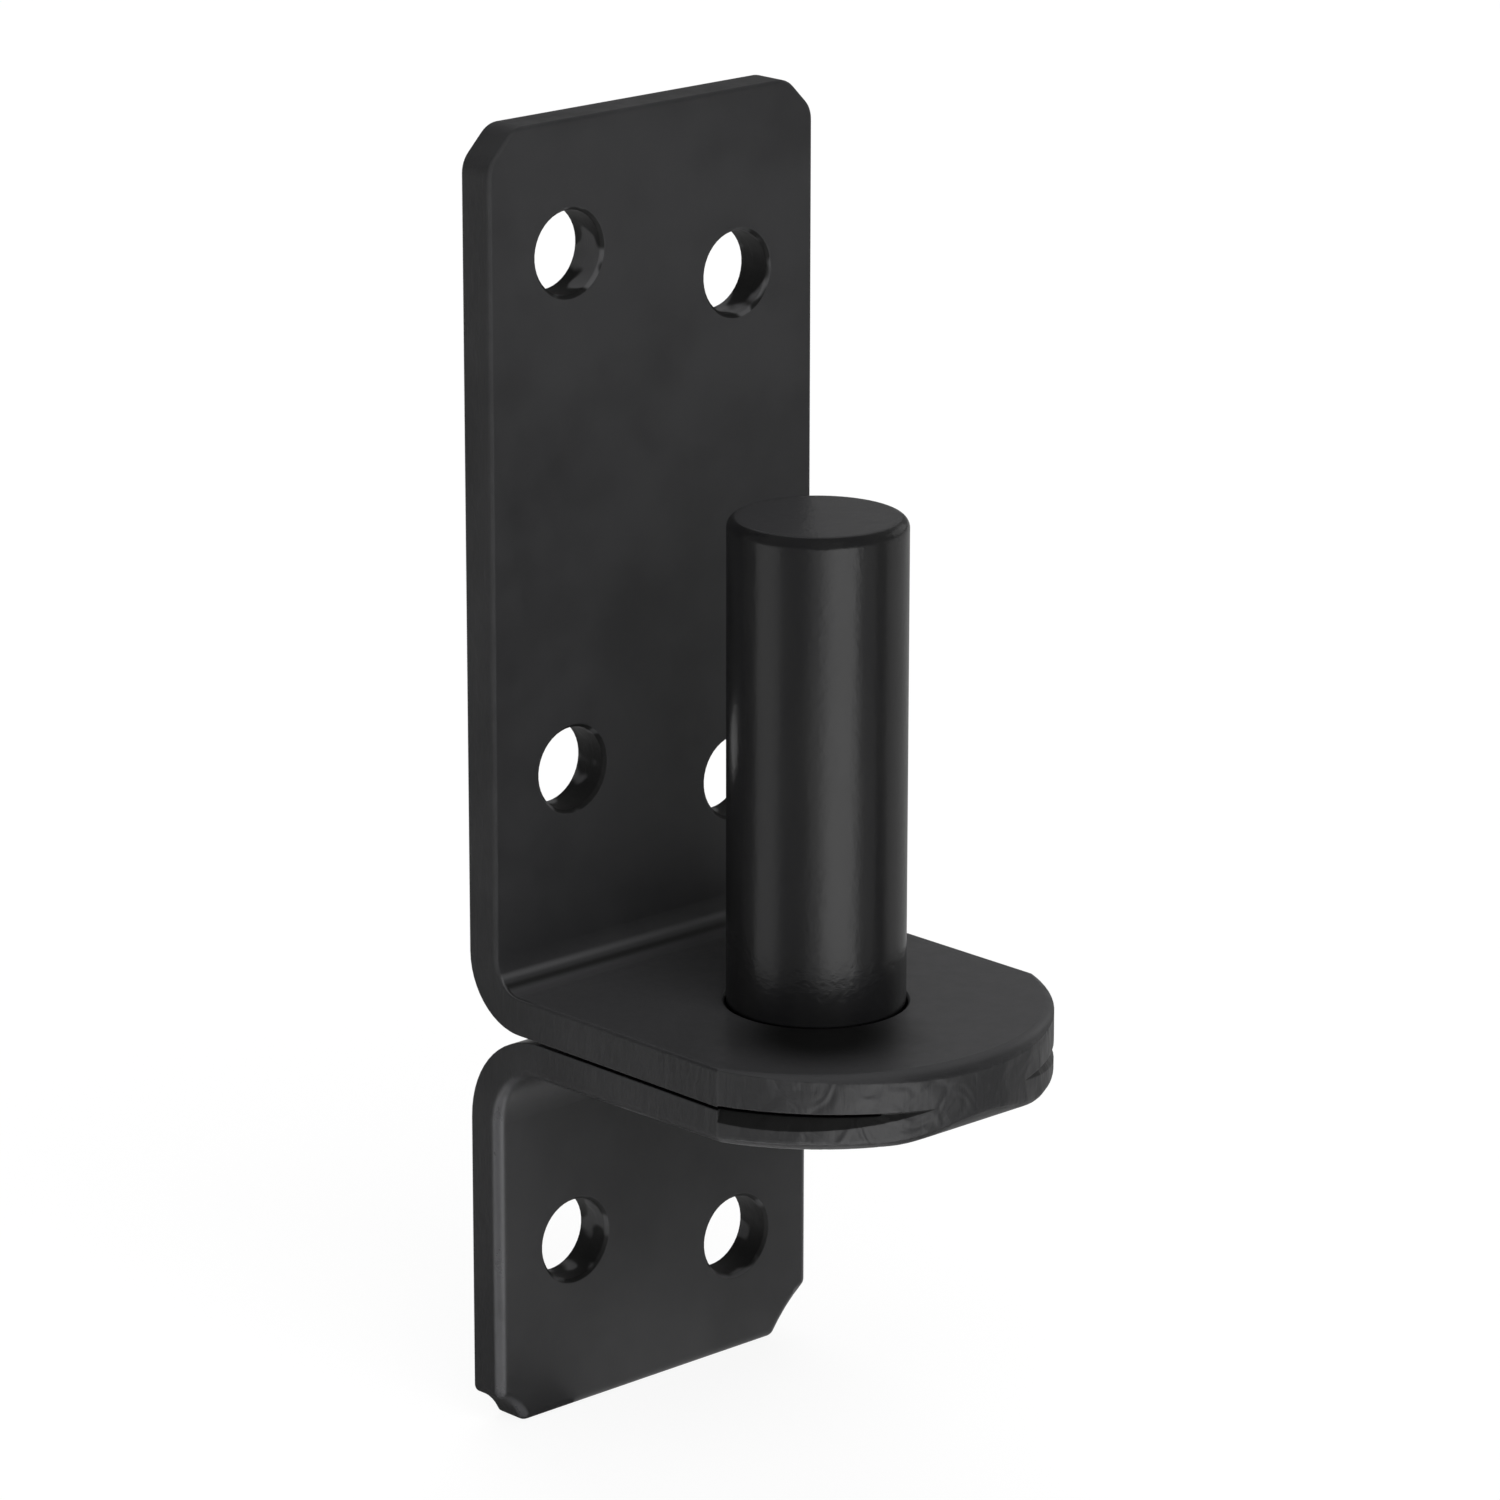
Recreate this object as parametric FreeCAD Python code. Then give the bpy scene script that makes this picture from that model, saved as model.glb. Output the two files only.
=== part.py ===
import FreeCAD, Part
import math
import os
from FreeCAD import Vector

# Gate hinge pin: a steel strip folded into a wall plate with a doubled shelf,
# and an upright pin riveted through the shelf. A hinge eye drops over the pin.
# Millimetres. The origin is on the pin's axis, at the top face of the shelf.
# X runs along the width of the plate, -Y is the front, +Z is up.

# The strip
strip_width = 38.5
strip_thick = 3.5
plate_rise = 77.5            # top of the upper plate, above the shelf
plate_drop = 42.2            # bottom of the lower plate, below the shelf's top
back_to_pin = 24.5           # from the wall to the pin's axis
shelf_reach = 21.4           # from the pin's axis to the tip of the round front
seam_gap = 0.3               # between the two layers of the shelf
fold_thick = 6.8             # the shelf at its fold, squeezed thinner than two layers
fold_spare = 0.3             # what the round front cuts off the fold at its tip
upper_bend = 2.9             # inner radius between upper plate and shelf
lower_bend = 5.5             # inner radius between shelf and lower plate

# The rounded front of the shelf, seen from above
side_reach = 7.8             # from the pin's axis to the end of the straight sides
ear_blend = 1.0              # where the straight sides turn into the round
tip_roll = 1.6               # its top edge, rolled over at the tip and less to the sides
tip_roll_off = 0.05          # how far the roll stands off the faces, which leaves soft creases

# The seam's mouth, which the cut opens in each side of the round front
mouth_depth = 0.6
mouth_over = 0.3             # its height above the middle of the seam
mouth_under = 1.25           # and below it
mouth_full_deg = 45.0        # full from the straight side to this angle from the tip
mouth_end_deg = 15.0         # and faded out at this one

# The cropped corners of the plates, with softened ends. The bottom cuts are hollow.
corner_cut = 3.0
corner_cut_deep = 4.3        # the bottom right corner
corner_hollow = 0.5
corner_hollow_deep = 0.3
corner_soft = 2.5
corner_soft_low = 1.0

# Screw holes: three rows of two, the right one of each row lower
screw_dia = 7.6
screw_edge_break = 0.3
screw_half_pitch = 10.0
screw_stagger = 4.8
screw_rows = (65.6, 18.7, -26.0)

# The pin
pin_dia = 16.0
pin_height = 44.2
pin_top_round = 1.0
pin_clearance = 0.15         # around the pin, in the upper layer
pin_hole_break = 0.2
pin_neck_dia = 15.4          # turned down where it sits in the upper layer
tenon_dia = 12.0
tenon_clearance = 0.05
rivet_dia = 17.0
rivet_height = 2.2
rivet_rim = 0.5
rivet_shoulder_out = 0.62    # a point of the domed head, as parts of its radius
rivet_shoulder_up = 0.28     # and of its height

# Edges rolled over by the punch, on the face that ends up outside
upper_roll = 0.35            # on the upper plate and the shelf's top
lower_roll = 1.0             # on the shelf's underside and the lower plate

# Sizes that follow from these
half_width = strip_width / 2
pin_radius = pin_dia / 2
back = back_to_pin
front = back - strip_thick
shelf_bottom = -(2 * strip_thick + seam_gap)
layer_under = -strip_thick
layer_over = layer_under - seam_gap
seam_mid = (layer_under + layer_over) / 2
fold_radius = fold_thick / 2
fold_front = -shelf_reach - fold_spare
fold_y = fold_front + fold_radius
round_chord = shelf_reach - side_reach
round_radius = (half_width ** 2 + round_chord ** 2) / (2 * round_chord)
round_y = round_radius - shelf_reach
round_side_deg = math.degrees(math.atan2(half_width, side_reach + round_y))

# The underside climbs from the lower bend to the fold. The pin's head is pressed
# into it, level, as deep as its front edge needs.
lower_y = front - lower_bend
lower_z = shelf_bottom - lower_bend
underside_climb = (-fold_thick - shelf_bottom) / (lower_y - fold_y)
underside_deg = math.degrees(math.atan(underside_climb))
rivet_radius = rivet_dia / 2
rivet_seat = shelf_bottom + underside_climb * (lower_y + rivet_radius)


def on_circle(centre_y, centre_z, radius, deg):
    """Point of a circle in the section plane, turned from +Y towards +Z."""
    a = math.radians(deg)
    return Vector(0, centre_y + radius * math.cos(a), centre_z + radius * math.sin(a))


def arc(centre_y, centre_z, radius, start_deg, end_deg):
    """Arc in the section plane, from one angle to the other about its centre."""
    angles = (start_deg, (start_deg + end_deg) / 2, end_deg)
    return Part.Arc(*[on_circle(centre_y, centre_z, radius, deg) for deg in angles]).toShape()


def outside_face():
    """The strip's outer line in section, from the top of the wall plate to its bottom."""
    upper_y = front - upper_bend
    fold_end = on_circle(fold_y, -fold_radius, fold_radius, 270 - underside_deg)
    bend_start = on_circle(lower_y, lower_z, lower_bend, 90 - underside_deg)
    return [
        Part.makeLine(Vector(0, front, plate_rise), Vector(0, front, upper_bend)),
        arc(upper_y, upper_bend, upper_bend, 0, -90),
        Part.makeLine(Vector(0, upper_y, 0), Vector(0, fold_front, 0)),
        Part.makeLine(Vector(0, fold_front, 0), Vector(0, fold_front, -fold_radius)),
        arc(fold_y, -fold_radius, fold_radius, 180, 270 - underside_deg),
        Part.makeLine(fold_end, bend_start),
        arc(lower_y, lower_z, lower_bend, 90 - underside_deg, 0),
        Part.makeLine(Vector(0, front, lower_z), Vector(0, front, -plate_drop)),
    ]


def inside_face():
    """The strip's inner line, from the bottom of the wall plate through the seam to its top."""
    upper_y = front - upper_bend
    return [
        Part.makeLine(Vector(0, back, -plate_drop), Vector(0, back, lower_z)),
        arc(lower_y, lower_z, lower_bend + strip_thick, 0, 90),
        Part.makeLine(Vector(0, lower_y, layer_over), Vector(0, fold_y, layer_over)),
        arc(fold_y, seam_mid, seam_gap / 2, 270, 90),
        Part.makeLine(Vector(0, fold_y, layer_under), Vector(0, upper_y, layer_under)),
        arc(upper_y, upper_bend, upper_bend + strip_thick, -90, 0),
        Part.makeLine(Vector(0, back, upper_bend), Vector(0, back, plate_rise)),
    ]


def folded_strip():
    """The whole section, carried across the width."""
    bottom_end = Part.makeLine(Vector(0, front, -plate_drop), Vector(0, back, -plate_drop))
    top_end = Part.makeLine(Vector(0, back, plate_rise), Vector(0, front, plate_rise))
    section = Part.Wire(outside_face() + [bottom_end] + inside_face() + [top_end])
    solid = Part.Face(section).extrude(Vector(strip_width, 0, 0))
    solid.translate(Vector(-half_width, 0, 0))
    return solid


def plan_outline():
    """Column of the shelf's outline from above: straight sides and a round front."""
    left = Vector(-half_width, -side_reach, 0)
    right = Vector(half_width, -side_reach, 0)
    tip = Vector(0, -shelf_reach, 0)
    far_right = Vector(half_width, back, 0)
    far_left = Vector(-half_width, back, 0)
    edges = [
        Part.Arc(left, tip, right).toShape(),
        Part.makeLine(right, far_right),
        Part.makeLine(far_right, far_left),
        Part.makeLine(far_left, left),
    ]
    tall = plate_rise + plate_drop
    column = Part.Face(Part.Wire(edges)).extrude(Vector(0, 0, tall))
    column.translate(Vector(0, 0, -plate_drop))
    ears = [e for e in column.Edges if is_upright(e) and abs(e.CenterOfMass.y + side_reach) < 0.01]
    return column.makeFillet(ear_blend, ears)


def is_upright(edge):
    """True for a straight edge along Z."""
    box = edge.BoundBox
    return box.XLength < 0.01 and box.YLength < 0.01


def corner_cutter(side, end_z, size, hollow):
    """Prism that crops one corner of the plate at 45 degrees, straight or hollow."""
    inward = -1 if end_z > 0 else 1
    x_side = side * half_width
    on_end = Vector(x_side - side * size, 0, end_z)
    on_side = Vector(x_side, 0, end_z + inward * size)
    middle = (on_end + on_side) * 0.5
    towards_plate = Vector(-side, 0, inward).normalize()
    if hollow:
        cut = Part.Arc(on_end, middle + towards_plate * hollow, on_side).toShape()
    else:
        cut = Part.makeLine(on_end, on_side)
    spare = Vector(side, 0, -inward) * size
    outline = Part.Wire([
        cut,
        Part.makeLine(on_side, on_side + spare),
        Part.makeLine(on_side + spare, on_end + spare),
        Part.makeLine(on_end + spare, on_end),
    ])
    prism = Part.Face(outline).extrude(Vector(0, 2 * strip_thick, 0))
    prism.translate(Vector(0, front - strip_thick / 2, 0))
    return prism


def edges_through_plate(solid, places):
    """Straight edges along Y that stand at any of the places, x and z."""
    found = []
    for edge in solid.Edges:
        box = edge.BoundBox
        spot = edge.CenterOfMass
        if box.XLength < 0.01 and box.ZLength < 0.01:
            if any(math.hypot(spot.x - x, spot.z - z) < 0.01 for x, z in places):
                found.append(edge)
    return found


def crop_corners(solid):
    """Crop the four corners and soften both ends of each cut."""
    corners = [
        (-1, plate_rise, corner_cut, 0), (1, plate_rise, corner_cut, 0),
        (-1, -plate_drop, corner_cut, corner_hollow),
        (1, -plate_drop, corner_cut_deep, corner_hollow_deep),
    ]
    solid = solid.cut([corner_cutter(*corner) for corner in corners])
    for wanted, soft in ((1, corner_soft), (-1, corner_soft_low)):
        ends = []
        for side, end_z, size, _ in corners:
            if end_z * wanted > 0:
                ends.append((side * (half_width - size), end_z))
                ends.append((side * half_width, end_z - wanted * size))
        solid = solid.makeFillet(soft, edges_through_plate(solid, ends))
    return solid


def screw_places():
    """Centres of the screw holes, x and z."""
    places = []
    for row in screw_rows:
        places.append((-screw_half_pitch, row))
        places.append((screw_half_pitch, row - screw_stagger))
    return places


def screw_hole(x, z):
    """Drill through the plate, with the front edge broken."""
    radius = screw_dia / 2
    into_wall = Vector(0, 1, 0)
    drill = Part.makeCylinder(radius, 3 * strip_thick, Vector(x, front - strip_thick, z), into_wall)
    cone = Part.makeCone(radius + screw_edge_break, radius, screw_edge_break,
                         Vector(x, front, z), into_wall)
    return drill.fuse(cone)


def pin_hole():
    """Stepped hole for the pin: clear in the upper layer, tight in the lower, seat below."""
    wide = pin_radius + pin_clearance
    upper = Part.makeCylinder(wide, -seam_mid, Vector(0, 0, seam_mid))
    lower = Part.makeCylinder(tenon_dia / 2 + tenon_clearance, -shelf_bottom, Vector(0, 0, shelf_bottom))
    cone = Part.makeCone(wide, wide + pin_hole_break, pin_hole_break, Vector(0, 0, -pin_hole_break))
    seat = Part.makeCylinder(rivet_radius + tenon_clearance, strip_thick,
                             Vector(0, 0, rivet_seat - strip_thick))
    return upper.fuse([lower, cone, seat])


def tip_edge():
    """Ring that rolls the top edge of the round front over. Its crease runs from the end of
    one side's roll to the other, and is furthest inside the outline at the tip."""
    level = tip_roll - tip_roll_off
    to_crease = math.sqrt(tip_roll ** 2 - level ** 2)
    tip = shelf_reach - level + to_crease
    end = half_width - upper_roll
    centre_y = (end ** 2 + side_reach ** 2 - tip ** 2) / (2 * (tip - side_reach))
    middle = tip + centre_y - to_crease
    places = [(middle + tip_roll * math.sin(a), tip_roll * math.cos(a) - level)
              for a in (0, math.pi / 4, math.pi / 2)]
    top, bulge, foot = [Vector(r, 0, z) for r, z in places]
    clear = [foot + Vector(tip_roll, 0, 0), foot + Vector(tip_roll, 0, 2 * tip_roll),
             Vector(top.x, 0, foot.z + 2 * tip_roll)]
    outline = Part.makePolygon([foot] + clear + [top])
    section = Part.Wire([Part.Arc(top, bulge, foot).toShape()] + outline.Edges)
    ring = Part.Face(section).revolve(Vector(0, 0, 0), Vector(0, 0, 1), -180)
    ring.translate(Vector(0, centre_y, 0))
    return ring


def seam_mouth(side):
    """Ring with a V section that opens the seam in one side of the round front. Its circle
    keeps the mouth's depth from the straight side on, and comes out of the metal near the tip."""
    path = []
    for deg, depth in ((round_side_deg, mouth_depth), (mouth_full_deg, mouth_depth),
                       (mouth_end_deg, 0)):
        a = math.radians(deg)
        reach = round_radius - depth
        path.append(Vector(side * reach * math.sin(a), round_y - reach * math.cos(a), seam_mid))
    circle = Part.Arc(*path).toShape().Curve
    outward = (path[0] - circle.Center).normalize() * (2 * mouth_depth)
    section = Part.makePolygon([
        path[0],
        path[0] + outward + Vector(0, 0, 2 * mouth_over),
        path[0] + outward - Vector(0, 0, 2 * mouth_under),
        path[0],
    ])
    sweep = math.degrees((path[0] - circle.Center).getAngle(path[2] - circle.Center))
    return Part.Face(section).revolve(circle.Center, Vector(0, 0, 1), -side * sweep)


def on_outside(edge, outside):
    """True where the edge lies on the strip's outer face."""
    middle = edge.valueAt((edge.FirstParameter + edge.LastParameter) / 2)
    spot = Part.Vertex(0, middle.y, middle.z)
    return outside.distToShape(spot)[0] < 0.001


def is_sharp(solid, edge):
    """True where the two faces at the edge meet at more than ten degrees."""
    middle = edge.valueAt((edge.FirstParameter + edge.LastParameter) / 2)
    faces = solid.ancestorsOfType(edge, Part.Face)
    if len(faces) != 2:
        return False
    normals = [face.normalAt(*face.Surface.parameter(middle)) for face in faces]
    return normals[0].getAngle(normals[1]) > math.radians(10)


def roll_edges(solid):
    """Round the edges of the outer face: thinly on the upper plate and the shelf's sides,
    more below the fold, and with a roll of its own on top of the round front."""
    outside = Part.Wire(outside_face())
    rim = [e for e in solid.Edges if on_outside(e, outside) and is_sharp(solid, e)]
    tall = plate_rise + fold_radius
    behind = Part.makeBox(strip_width, back + side_reach, tall,
                          Vector(-half_width, -side_reach, -fold_radius))
    ahead = Part.makeBox(strip_width, -side_reach - fold_front, tall,
                         Vector(-half_width, fold_front, -fold_radius))
    upper = solid.makeFillet(upper_roll, rim).common(behind)
    tip = solid.common(ahead).cut(tip_edge())
    lower = solid.makeFillet(lower_roll, rim).cut([behind, ahead])
    return upper.fuse([tip, lower]).removeSplitter()


def make_folded_plate():
    """Wall plate and doubled shelf, one folded strip."""
    solid = folded_strip().common(plan_outline())
    solid = crop_corners(solid)
    solid = roll_edges(solid)
    holes = [screw_hole(x, z) for x, z in screw_places()]
    return solid.cut(holes + [pin_hole(), seam_mouth(-1), seam_mouth(1)])


def make_hinge_pin():
    """Pin, neck, tenon and peened head, turned about the Z axis."""
    tenon_radius = tenon_dia / 2
    neck_radius = pin_neck_dia / 2
    rim_z = rivet_seat - rivet_rim
    head_z = rivet_seat - rivet_height
    round_z = pin_height - pin_top_round
    flat = pin_radius - pin_top_round
    corner = pin_top_round * math.sqrt(0.5)
    dome_mid = Vector(rivet_radius * rivet_shoulder_out, 0,
                      head_z + (rim_z - head_z) * rivet_shoulder_up)
    points = [
        Vector(0, 0, head_z), Vector(rivet_radius, 0, rim_z), Vector(rivet_radius, 0, rivet_seat),
        Vector(tenon_radius, 0, rivet_seat), Vector(tenon_radius, 0, layer_over),
        Vector(neck_radius, 0, layer_over), Vector(neck_radius, 0, 0),
        Vector(pin_radius, 0, 0), Vector(pin_radius, 0, round_z),
    ]
    dome = Part.Arc(points[0], dome_mid, points[1]).toShape()
    steps = [Part.makeLine(a, b) for a, b in zip(points[1:-1], points[2:])]
    shoulder = Part.Arc(points[-1], Vector(flat + corner, 0, round_z + corner),
                        Vector(flat, 0, pin_height)).toShape()
    top = Part.makeLine(Vector(flat, 0, pin_height), Vector(0, 0, pin_height))
    axis = Part.makeLine(Vector(0, 0, pin_height), points[0])
    profile = Part.Face(Part.Wire([dome] + steps + [shoulder, top, axis]))
    return profile.revolve(Vector(0, 0, 0), Vector(0, 0, 1), 360)


def main():
    os.makedirs("parts", exist_ok=True)
    nodes = {
        "folded_plate": make_folded_plate(),
        "hinge_pin": make_hinge_pin(),
    }
    for name, shape in nodes.items():
        shape.exportStep("parts/" + name + ".step")
        print(name, "valid", shape.isValid(), "solids", len(shape.Solids),
              "volume", round(shape.Volume, 1), "box", shape.BoundBox)


main()
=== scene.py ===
import math

import bpy
import numpy as np
from mathutils import Matrix, Vector


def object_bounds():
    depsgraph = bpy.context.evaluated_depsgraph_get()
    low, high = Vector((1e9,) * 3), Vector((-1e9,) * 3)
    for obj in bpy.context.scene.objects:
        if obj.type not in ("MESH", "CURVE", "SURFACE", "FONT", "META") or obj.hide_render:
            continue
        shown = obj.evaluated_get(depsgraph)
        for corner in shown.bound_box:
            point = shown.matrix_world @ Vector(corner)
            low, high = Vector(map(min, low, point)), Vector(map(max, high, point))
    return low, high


# Gate hinge pin: a folded strip and the pin riveted into its shelf, both dipped in black. The
# solids are the CAD's own. This script gives them their coats and sets up the studio and the
# camera. Lengths are in metres and angles in degrees. Azimuth 0 is the front (-Y), 90 the
# right (+X).

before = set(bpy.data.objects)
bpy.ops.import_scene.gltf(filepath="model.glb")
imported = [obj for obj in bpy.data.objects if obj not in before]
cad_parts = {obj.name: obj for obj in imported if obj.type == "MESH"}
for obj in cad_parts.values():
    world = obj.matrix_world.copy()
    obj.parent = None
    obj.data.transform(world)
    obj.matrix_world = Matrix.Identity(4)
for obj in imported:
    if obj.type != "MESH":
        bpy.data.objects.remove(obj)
cad_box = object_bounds()

MM = 0.001

# The photograph's view, fitted to the outlines of the plates, the shelf and the pin
VIEW_AZIMUTH = -43.229
VIEW_ELEVATION = 16.642
VIEW_ROLL = 0.085
VIEW_DISTANCE = 598.46 * MM
VIEW_TARGET = Vector((-8.074, 0.0, 24.646)) * MM
VIEW_NEAR, VIEW_FAR = 0.01, 50.0
SENSOR_WIDTH = 36.0
PICTURE_PIXELS = 1500
FOCAL_PIXELS = 6890.35

# The coats
COAT_IOR = 1.5
BEVEL_SAMPLES = 6
BENDS_MIDDLE = -5 * MM                         # height halfway between the two bends
POOL_PLACE = Vector((-6.5, -7.5, 0)) * MM      # of the painted reflection of the pin, a dark patch at the pin's foot
SMOOTH = {"interpolation_type": "SMOOTHSTEP"}
COLOUR = {"data_type": "RGBA"}

# The studio
ROOM_LIGHT = 0.1
FLOOR = cad_box[0].z
FLOOR_REACH = 6.0
SHADOW_LEFT_OUT = 0.9                          # share of the floor that glows white instead
CARD_LIFT = 0.1 * MM
CARD_NEAR = 1 * MM
CARD_FAR = 5000 * MM
CARD_STEP = 5                                  # degrees from corner to corner of its arc
WHITE = (1, 1, 1, 1)


def linear(hex_colour):
    """The linear colour of an sRGB hex value, with an alpha of 1."""
    channels = np.array([int(hex_colour[i:i + 2], 16) for i in (1, 3, 5)]) / 255
    bent = np.where(channels <= 0.04045, channels / 12.92, ((channels + 0.055) / 1.055) ** 2.4)
    return (*bent.tolist(), 1.0)


def add_node(tree, kind, settings=(), links=()):
    """Adds a node to a tree. settings are its own properties. links pair each input, by name
    or number, with the output that feeds it or with a plain value."""
    node = tree.nodes.new(kind)
    for name, value in dict(settings).items():
        setattr(node, name, value)
    for place, value in dict(links).items():
        if isinstance(value, bpy.types.NodeSocket):
            tree.links.new(value, node.inputs[place])
        else:
            node.inputs[place].default_value = value
    return node


# Coats


def start_coat(name):
    """A new material, and what the tables of its coat can read: the place on the piece and the
    way its surface faces, in parts."""
    material = bpy.data.materials.new(name)
    material.use_nodes = True
    tree = material.node_tree
    source = add_node(tree, "ShaderNodeTexCoord").outputs
    reads = {"place": source["Object"]}
    for kind, vector in (("place", source["Object"]), ("facing", source["Normal"])):
        for part in add_node(tree, "ShaderNodeSeparateXYZ", (), {0: vector}).outputs:
            reads[f"{kind} {part.name}"] = part
    return material, reads


def lay_coat(material, reads, patterns, fades, zones, tones, glosses, relief, eased_mm):
    """Builds the coat of a material from its tables.

    patterns  cloudy noise: where it is laid, the size of its features in mm, then its detail,
              roughness and distortion
    fades     what a reading or a pattern becomes, from 0 to 1 or else between two given
              values, when it is carried from one value to another and held at both ends
    zones     fades and zones taken together, by MULTIPLY where all have to hold and MAXIMUM
              where one is enough
    tones     colours laid one over the other, each with its zone
    glosses   changes of the roughness, which starts from the fade "film", each with its zone
    relief    patterns that raise the surface, each with its zone, if any, and its depth in mm
    eased_mm  how far the coat rounds the edges that it flows off
    """
    tree = material.node_tree
    coat = tree.nodes["Principled BSDF"]
    coat.inputs["IOR"].default_value = COAT_IOR
    found = dict(reads)
    for name, (laid_on, size_mm, detail, roughness, distortion) in patterns.items():
        found[name] = add_node(tree, "ShaderNodeTexNoise", (), {
            "Vector": found[laid_on], "Scale": 1 / (size_mm * MM), "Detail": detail,
            "Roughness": roughness, "Distortion": distortion}).outputs["Fac"]
    for name, (read, from_min, from_max, *ends) in fades.items():
        to_min, to_max = ends or (0.0, 1.0)
        found[name] = add_node(tree, "ShaderNodeMapRange", SMOOTH, {
            "Value": found[read], "From Min": from_min, "From Max": from_max,
            "To Min": to_min, "To Max": to_max}).outputs["Result"]
    for name, (operation, first, *others) in zones.items():
        found[name] = found[first]
        for other in others:
            found[name] = add_node(tree, "ShaderNodeMath", {"operation": operation},
                                   {0: found[name], 1: found[other]}).outputs[0]

    tone = linear(tones[0][1])
    for zone, colour in tones[1:]:
        tone = add_node(tree, "ShaderNodeMix", COLOUR,
                        {"Factor": found[zone], 6: tone, 7: linear(colour)}).outputs[2]
    tree.links.new(tone, coat.inputs["Base Color"])

    roughness = found["film"]
    for zone, change in glosses:
        step = add_node(tree, "ShaderNodeMapRange", SMOOTH,
                        {"Value": found[zone], "To Max": change}).outputs["Result"]
        roughness = add_node(tree, "ShaderNodeMath", {"operation": "ADD"},
                             {0: roughness, 1: step}).outputs[0]
    tree.links.new(roughness, coat.inputs["Roughness"])

    normal = add_node(tree, "ShaderNodeBevel", {"samples": BEVEL_SAMPLES},
                      {"Radius": eased_mm * MM}).outputs["Normal"]
    for pattern, zone, depth_mm in relief:
        height = found[pattern]
        if zone:
            height = add_node(tree, "ShaderNodeMath", {"operation": "MULTIPLY"},
                              {0: height, 1: found[zone]}).outputs[0]
        normal = add_node(tree, "ShaderNodeBump", (), {
            "Height": height, "Normal": normal, "Strength": 1.0,
            "Distance": depth_mm * MM}).outputs["Normal"]
    tree.links.new(normal, coat.inputs["Normal"])
    return material


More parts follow.
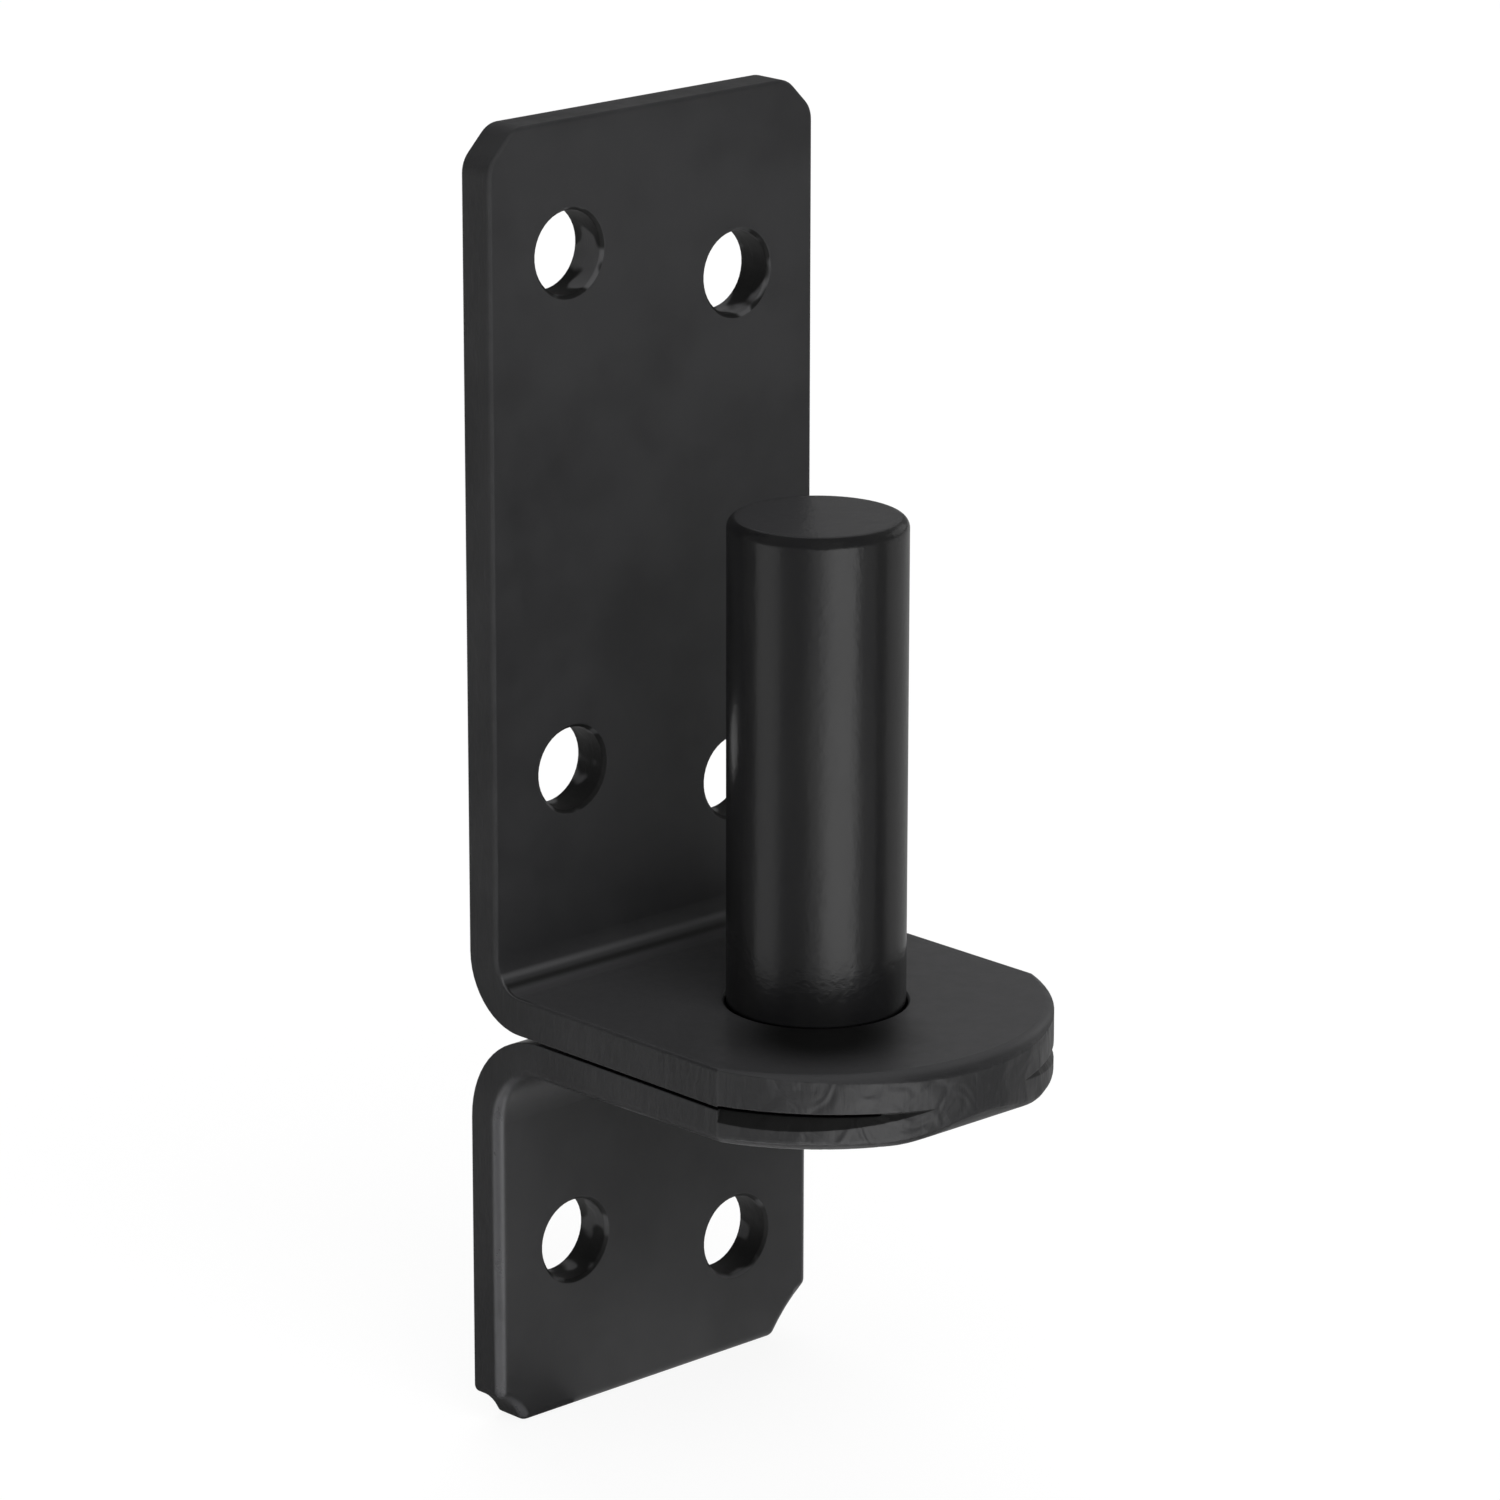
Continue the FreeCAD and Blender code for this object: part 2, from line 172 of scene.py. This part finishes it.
def dipped_strip():
    """Black dip coat baked on pickled strip: satin on the rolled faces, where it fills the
    metal's grain and leaves a slow orange peel. It is smoother on the shelf's top, which the
    dies pressed flat, dull where the punch tore the metal, and follows the streaks of the
    sheared edges."""
    material, reads = start_coat("black_dip_coat_on_rolled_strip")
    tree = material.node_tree
    for name, part in (("off centre", "place X"), ("faces aside", "facing X"),
                       ("faces along", "facing Y"), ("faces level", "facing Z")):
        reads[name] = add_node(tree, "ShaderNodeMath", {"operation": "ABSOLUTE"},
                               {0: reads[part]}).outputs[0]
    reads["skew"] = add_node(tree, "ShaderNodeMath", {"operation": "MULTIPLY"},
                             {0: reads["faces aside"], 1: reads["faces along"]}).outputs[0]
    height = add_node(tree, "ShaderNodeMath", {"operation": "SUBTRACT"},
                      {0: reads["place Z"], 1: BENDS_MIDDLE}).outputs[0]
    reads["from bends"] = add_node(tree, "ShaderNodeMath", {"operation": "ABSOLUTE"},
                                  {0: height}).outputs[0]
    reads["from painted reflection"] = add_node(tree, "ShaderNodeVectorMath", {"operation": "DISTANCE"},
                                 {0: reads["place"], 1: POOL_PLACE}).outputs["Value"]
    # The shear draws its streaks up and down
    reads["drawn place"] = add_node(tree, "ShaderNodeMapping", (), {
        "Vector": reads["place"], "Scale": (1, 1, 0.3)}).outputs["Vector"]

    patterns = {
        "cloud": ("place", 14, 3.0, 0.55, 0.0),       # uneven black of the dip
        "thickness": ("place", 2.5, 4.0, 0.6, 0.0),   # thick and thin film, 2 to 3 mm across
        "rub and sheen": ("place", 5, 3.0, 0.6, 0.0),           # handling, and a painted highlight on the lower plate's rolled edges, in patches along the edges
        "patches": ("place", 3, 1.0, 0.4, 0.0),       # bright and torn parts of a punched wall, partly painted highlight
        "hollows": ("place", 9, 1.0, 0.4, 0.0),       # slow hollows of a rolled, struck face
        "peel": ("place", 1.1, 2.0, 0.5, 0.0),        # orange peel, about 1 mm across
        "streaks": ("drawn place", 0.8, 2.0, 0.5, 0.6),  # of the shear, 0.8 mm apart
        "bite": ("place", 3.5, 1.0, 0.4, 1.5),        # waves where the cut bites into the fold
    }
    fades = {
        "clouded": ("cloud", 0.35, 0.65),
        "film": ("thickness", 0.3, 0.7, 0.35, 0.43),
        "rubbed and sheen": ("rub and sheen", 0.3, 0.55, 0.45, 1.0),
        "bright patch": ("patches", 0.52, 0.6),
        "up": ("facing Z", 0.6, 0.9),
        "low": ("place Z", 6 * MM, 2 * MM),
        "side": ("faces aside", 0.7, 0.9),
        "front": ("place Y", -7 * MM, -12 * MM),
        "upright": ("faces level", 0.6, 0.3),
        "rolled edge": ("skew", 0.12, 0.4),
        "behind": ("place Y", -7 * MM, 5 * MM),
        "under the shelf": ("place Z", 0.0, -8 * MM),
        "over the shelf": ("place Z", -2 * MM, 6 * MM),
        "between the sides": ("off centre", 15 * MM, 14.5 * MM),
        "across": ("faces along", 0.9, 0.75),
        "in a plate": ("place Y", 19 * MM, 20 * MM),
        "below the top": ("place Z", 76.5 * MM, 76 * MM),
        "above the bottom": ("place Z", -41 * MM, -40.5 * MM),
        "off the bends": ("from bends", 9 * MM, 10 * MM),
        "above the underside": ("place Z", -7 * MM, -6 * MM),
        "below the upper layer": ("place Z", -3 * MM, -3.4 * MM),
        "slopes up": ("facing Z", 0.15, 0.35),
        "near the plate": ("place Y", 15 * MM, 17 * MM),
        "highlight begins": ("facing Z", 0.42, 0.56),
        "highlight ends": ("facing Z", 0.7, 0.58),
        "shade begins": ("facing Z", 0.68, 0.79),
        "shade ends": ("facing Z", 0.93, 0.81),
        "near the painted reflection": ("from painted reflection", 11 * MM, 3 * MM),
    }
    zones = {
        "pressed top painted lighter": ("MULTIPLY", "up", "low"),
        "round front": ("MULTIPLY", "front", "upright"),
        "sheared": ("MAXIMUM", "side", "round front"),
        "rubbed and sheen edge": ("MULTIPLY", "rolled edge", "rubbed and sheen", "behind", "under the shelf"),
        "dull edge": ("MULTIPLY", "rolled edge", "over the shelf"),
        "hole wall": ("MULTIPLY", "between the sides", "across", "in a plate",
                      "below the top", "above the bottom", "off the bends"),
        "hole patch": ("MULTIPLY", "hole wall", "bright patch"),
        "torn": ("MAXIMUM", "dull edge", "hole wall"),
        "painted seam shade": ("MULTIPLY", "above the underside", "below the upper layer", "slopes up"),
        "painted bend highlight": ("MULTIPLY", "near the plate", "low", "highlight begins", "highlight ends"),
        "painted bend shade": ("MULTIPLY", "near the plate", "low", "shade begins", "shade ends"),
        "painted pin reflection": ("MULTIPLY", "pressed top painted lighter", "near the painted reflection"),
    }
    tones = (
        ("everywhere", "#242425"),
        ("clouded", "#2b2b2c"),
        # painted light: the upward-facing top of the shelf is lighter than the rest of the coat
        ("pressed top painted lighter", "#353536"),
        ("painted pin reflection", "#0d0d0d"),              # painted reflection: the pin's dark mirror image and the shade at its foot, painted on the shelf
                                          # mirror image of the pin
        ("painted bend highlight", "#3f3f40"),         # painted highlight: a light line along the inner bend
        ("painted bend shade", "#161616"),       # painted shade: a dark line under it
        # partly rubbed edges and partly a painted highlight along the lower plate's rolled edges
        ("rubbed and sheen edge", "#48484a"),
        ("painted seam shade", "#0d0d0d"),        # painted shade in the open cut of the seam under the upper layer
        # painted shade: the hole walls are darker; their lighter patches are partly the punched
        # wall's bright and torn parts and partly painted highlight
        ("hole wall", "#0f0f0f"),
        ("hole patch", "#404041"),
    )
    glosses = (("pressed top painted lighter", -0.06), ("rubbed and sheen edge", -0.1), ("torn", 0.25))
    relief = (
        ("hollows", None, 0.09),
        ("peel", None, 0.009),
        ("streaks", "sheared", 0.05),
        ("bite", "round front", 0.35),
    )
    return lay_coat(material, reads, patterns, fades, zones, tones, glosses, relief,
                    eased_mm=0.2)


def dipped_bar():
    """Black dip coat baked on drawn bar: thin and nearly glossy, so its bands of light are
    crisp. The scratches of the draw run up the bar, and grit under the coat frays the bands."""
    material, reads = start_coat("black_dip_coat_on_drawn_bar")
    reads["drawn place"] = add_node(material.node_tree, "ShaderNodeMapping", (), {
        "Vector": reads["place"], "Scale": (1, 1, 0.2)}).outputs["Vector"]
    patterns = {
        "cloud": ("drawn place", 6, 3.0, 0.55, 0.0),
        "thickness": ("drawn place", 1.6, 4.0, 0.6, 0.0),
        "waves": ("drawn place", 3, 1.0, 0.4, 0.0),   # 3 mm round the bar and 15 mm up
        "grit": ("place", 0.7, 3.0, 0.6, 0.0),        # coarser than the real 0.1 mm, to show
    }
    fades = {
        "clouded": ("cloud", 0.35, 0.65),
        "film": ("thickness", 0.3, 0.7, 0.2, 0.27),
        "end": ("facing Z", 0.9, 0.98),
    }
    # the end tone is painted light: the bar's upward-facing top is lighter than its sides
    tones = (("everywhere", "#141415"), ("clouded", "#191919"), ("end", "#303031"))
    relief = (("waves", None, 0.03), ("grit", None, 0.028))
    return lay_coat(material, reads, patterns, fades, {}, tones, (), relief, eased_mm=0.15)


# Studio


def stage_sheet(name, corners, material):
    """One flat face of the studio, which isn't part of the object."""
    mesh = bpy.data.meshes.new(name)
    mesh.from_pydata(corners, [], [tuple(range(len(corners)))])
    mesh.materials.append(material)
    sheet = bpy.data.objects.new(name, mesh)
    bpy.context.scene.collection.objects.link(sheet)
    return sheet


def white_paper():
    """White to the camera and to the gloss, with most of the object's shadow left out."""
    material = bpy.data.materials.new("white_paper_floor")
    material.use_nodes = True
    tree = material.node_tree
    tree.nodes.clear()
    rays = add_node(tree, "ShaderNodeLightPath").outputs
    seen = rays["Is Camera Ray"]
    for kind in ("Is Glossy Ray", "Is Transmission Ray"):
        seen = add_node(tree, "ShaderNodeMath", {"operation": "MAXIMUM"},
                        {0: seen, 1: rays[kind]}).outputs[0]
    share = add_node(tree, "ShaderNodeMath", {"operation": "MULTIPLY"},
                     {0: seen, 1: SHADOW_LEFT_OUT}).outputs[0]
    paper = add_node(tree, "ShaderNodeBsdfDiffuse", (), {"Color": linear("#fafafa")}).outputs[0]
    white = add_node(tree, "ShaderNodeEmission", (), {"Color": WHITE, "Strength": 1.0}).outputs[0]
    both = add_node(tree, "ShaderNodeMixShader", (), {0: share, 1: paper, 2: white}).outputs[0]
    add_node(tree, "ShaderNodeOutputMaterial", (), {"Surface": both})
    return material


def card(name, apex_mm, from_azimuth, to_azimuth, brightness):
    """A card laid on the floor, seen only in the object's gloss: a sector that spreads from its
    apex between two azimuths."""
    steps = 2 + int((to_azimuth - from_azimuth) / CARD_STEP)
    turns = np.radians(np.linspace(from_azimuth, to_azimuth, steps))
    ring = np.stack([np.sin(turns), -np.cos(turns)], axis=1)
    corners = np.vstack([ring * CARD_NEAR, ring[::-1] * CARD_FAR]) + np.array(apex_mm) * MM
    material = bpy.data.materials.new(name)
    material.use_nodes = True
    tree = material.node_tree
    tree.nodes.clear()
    glow = add_node(tree, "ShaderNodeEmission", (), {"Color": WHITE, "Strength": brightness})
    add_node(tree, "ShaderNodeOutputMaterial", (), {"Surface": glow.outputs[0]})
    material.cycles.emission_sampling = "NONE"
    sheet = stage_sheet(name, [(x, y, FLOOR + CARD_LIFT) for x, y in corners.tolist()], material)
    for kind in ("camera", "diffuse", "transmission", "volume_scatter", "shadow"):
        setattr(sheet, "visible_" + kind, False)


def towards(azimuth, elevation):
    """The direction from the object to a place of the studio."""
    a, e = math.radians(azimuth), math.radians(elevation)
    return Vector((math.sin(a) * math.cos(e), -math.cos(a) * math.cos(e), math.sin(e)))


def add_lamp(light, azimuth, elevation, distance=1.0):
    """Hangs a light in the studio, turned to the object."""
    lamp = bpy.data.objects.new(light.name, light)
    aim = towards(azimuth, elevation)
    lamp.location = aim * distance
    lamp.rotation_euler = aim.to_track_quat("Z", "Y").to_euler()
    bpy.context.scene.collection.objects.link(lamp)
    return lamp


def soft_sun(name, azimuth, elevation, strength, width):
    """A wide soft lamp, the same all over the floor, hung where the gloss doesn't catch it."""
    light = bpy.data.lights.new(name, "SUN")
    light.energy = strength
    light.angle = math.radians(width)
    add_lamp(light, azimuth, elevation).visible_glossy = False


def softbox(name, azimuth, elevation, distance, width, height, brightness):
    """A flat lamp whose front is so many times as bright as white paper."""
    light = bpy.data.lights.new(name, "AREA")
    light.shape = "RECTANGLE"
    light.size, light.size_y = width, height
    light.energy = brightness * math.pi * width * height
    add_lamp(light, azimuth, elevation, distance).visible_camera = False


def studio():
    """The white floor, the lamps, and the ring of cards that gives the upright faces and the
    pin their bands of light."""
    world = bpy.data.worlds.new("studio")
    bpy.context.scene.world = world
    world.use_nodes = True
    room = world.node_tree.nodes["Background"].inputs
    room["Color"].default_value = WHITE
    room["Strength"].default_value = ROOM_LIGHT
    edge = FLOOR_REACH
    stage_sheet("floor", [(-edge, -edge, FLOOR), (edge, -edge, FLOOR),
                          (edge, edge, FLOOR), (-edge, edge, FLOOR)], white_paper())
    soft_sun("overhead", -30, 72, 0.9, 60)
    soft_sun("front_fill", -20, 35, 2.3, 60)
    soft_sun("back_fill", 140, 35, 2.0, 60)
    softbox("right_box", 90, 20, 0.9, 0.6, 0.4, 0.4)
    softbox("back_box", 140, 24, 0.9, 0.9, 0.6, 0.06)
    card("left_card", (0, 0), -126, -92, 0.7)
    card("black_card", (0, 0), -92, -54, 0.25)
    card("grey_card", (0, 0), -54, -40, 0.6)
    card("half_white_card", (0, 0), -40, -27, 1.1)
    card("white_card", (-19, 21), -27, 9, 1.65)
    card("front_right_card", (0, 0), 9, 34, 0.38)
    card("right_card", (0, 0), 34, 52, 0.08)
    card("far_right_card", (0, 0), 52, 130, 0.38)
    card("back_card", (0, 0), 130, 205, 0.6)
    card("back_left_card", (0, 0), 205, 234, 0.1)


def camera():
    """The camera at the photograph's place, looking at the middle of its picture."""
    data = bpy.data.cameras.new("camera")
    data.sensor_width = SENSOR_WIDTH
    data.lens = FOCAL_PIXELS / PICTURE_PIXELS * SENSOR_WIDTH
    data.clip_start, data.clip_end = VIEW_NEAR, VIEW_FAR
    taken = bpy.data.objects.new("camera", data)
    back = towards(VIEW_AZIMUTH, VIEW_ELEVATION)
    taken.location = VIEW_TARGET + back * VIEW_DISTANCE
    turn = back.to_track_quat("Z", "Y").to_matrix()
    roll = Matrix.Rotation(math.radians(VIEW_ROLL), 3, "Z")
    taken.rotation_euler = (turn @ roll).to_euler()
    bpy.context.scene.collection.objects.link(taken)
    bpy.context.scene.camera = taken


for name, finish in (("folded_plate", dipped_strip()), ("hinge_pin", dipped_bar())):
    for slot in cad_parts[name].material_slots:
        slot.material = finish
studio()
camera()
bpy.context.scene.view_settings.view_transform = "Standard"
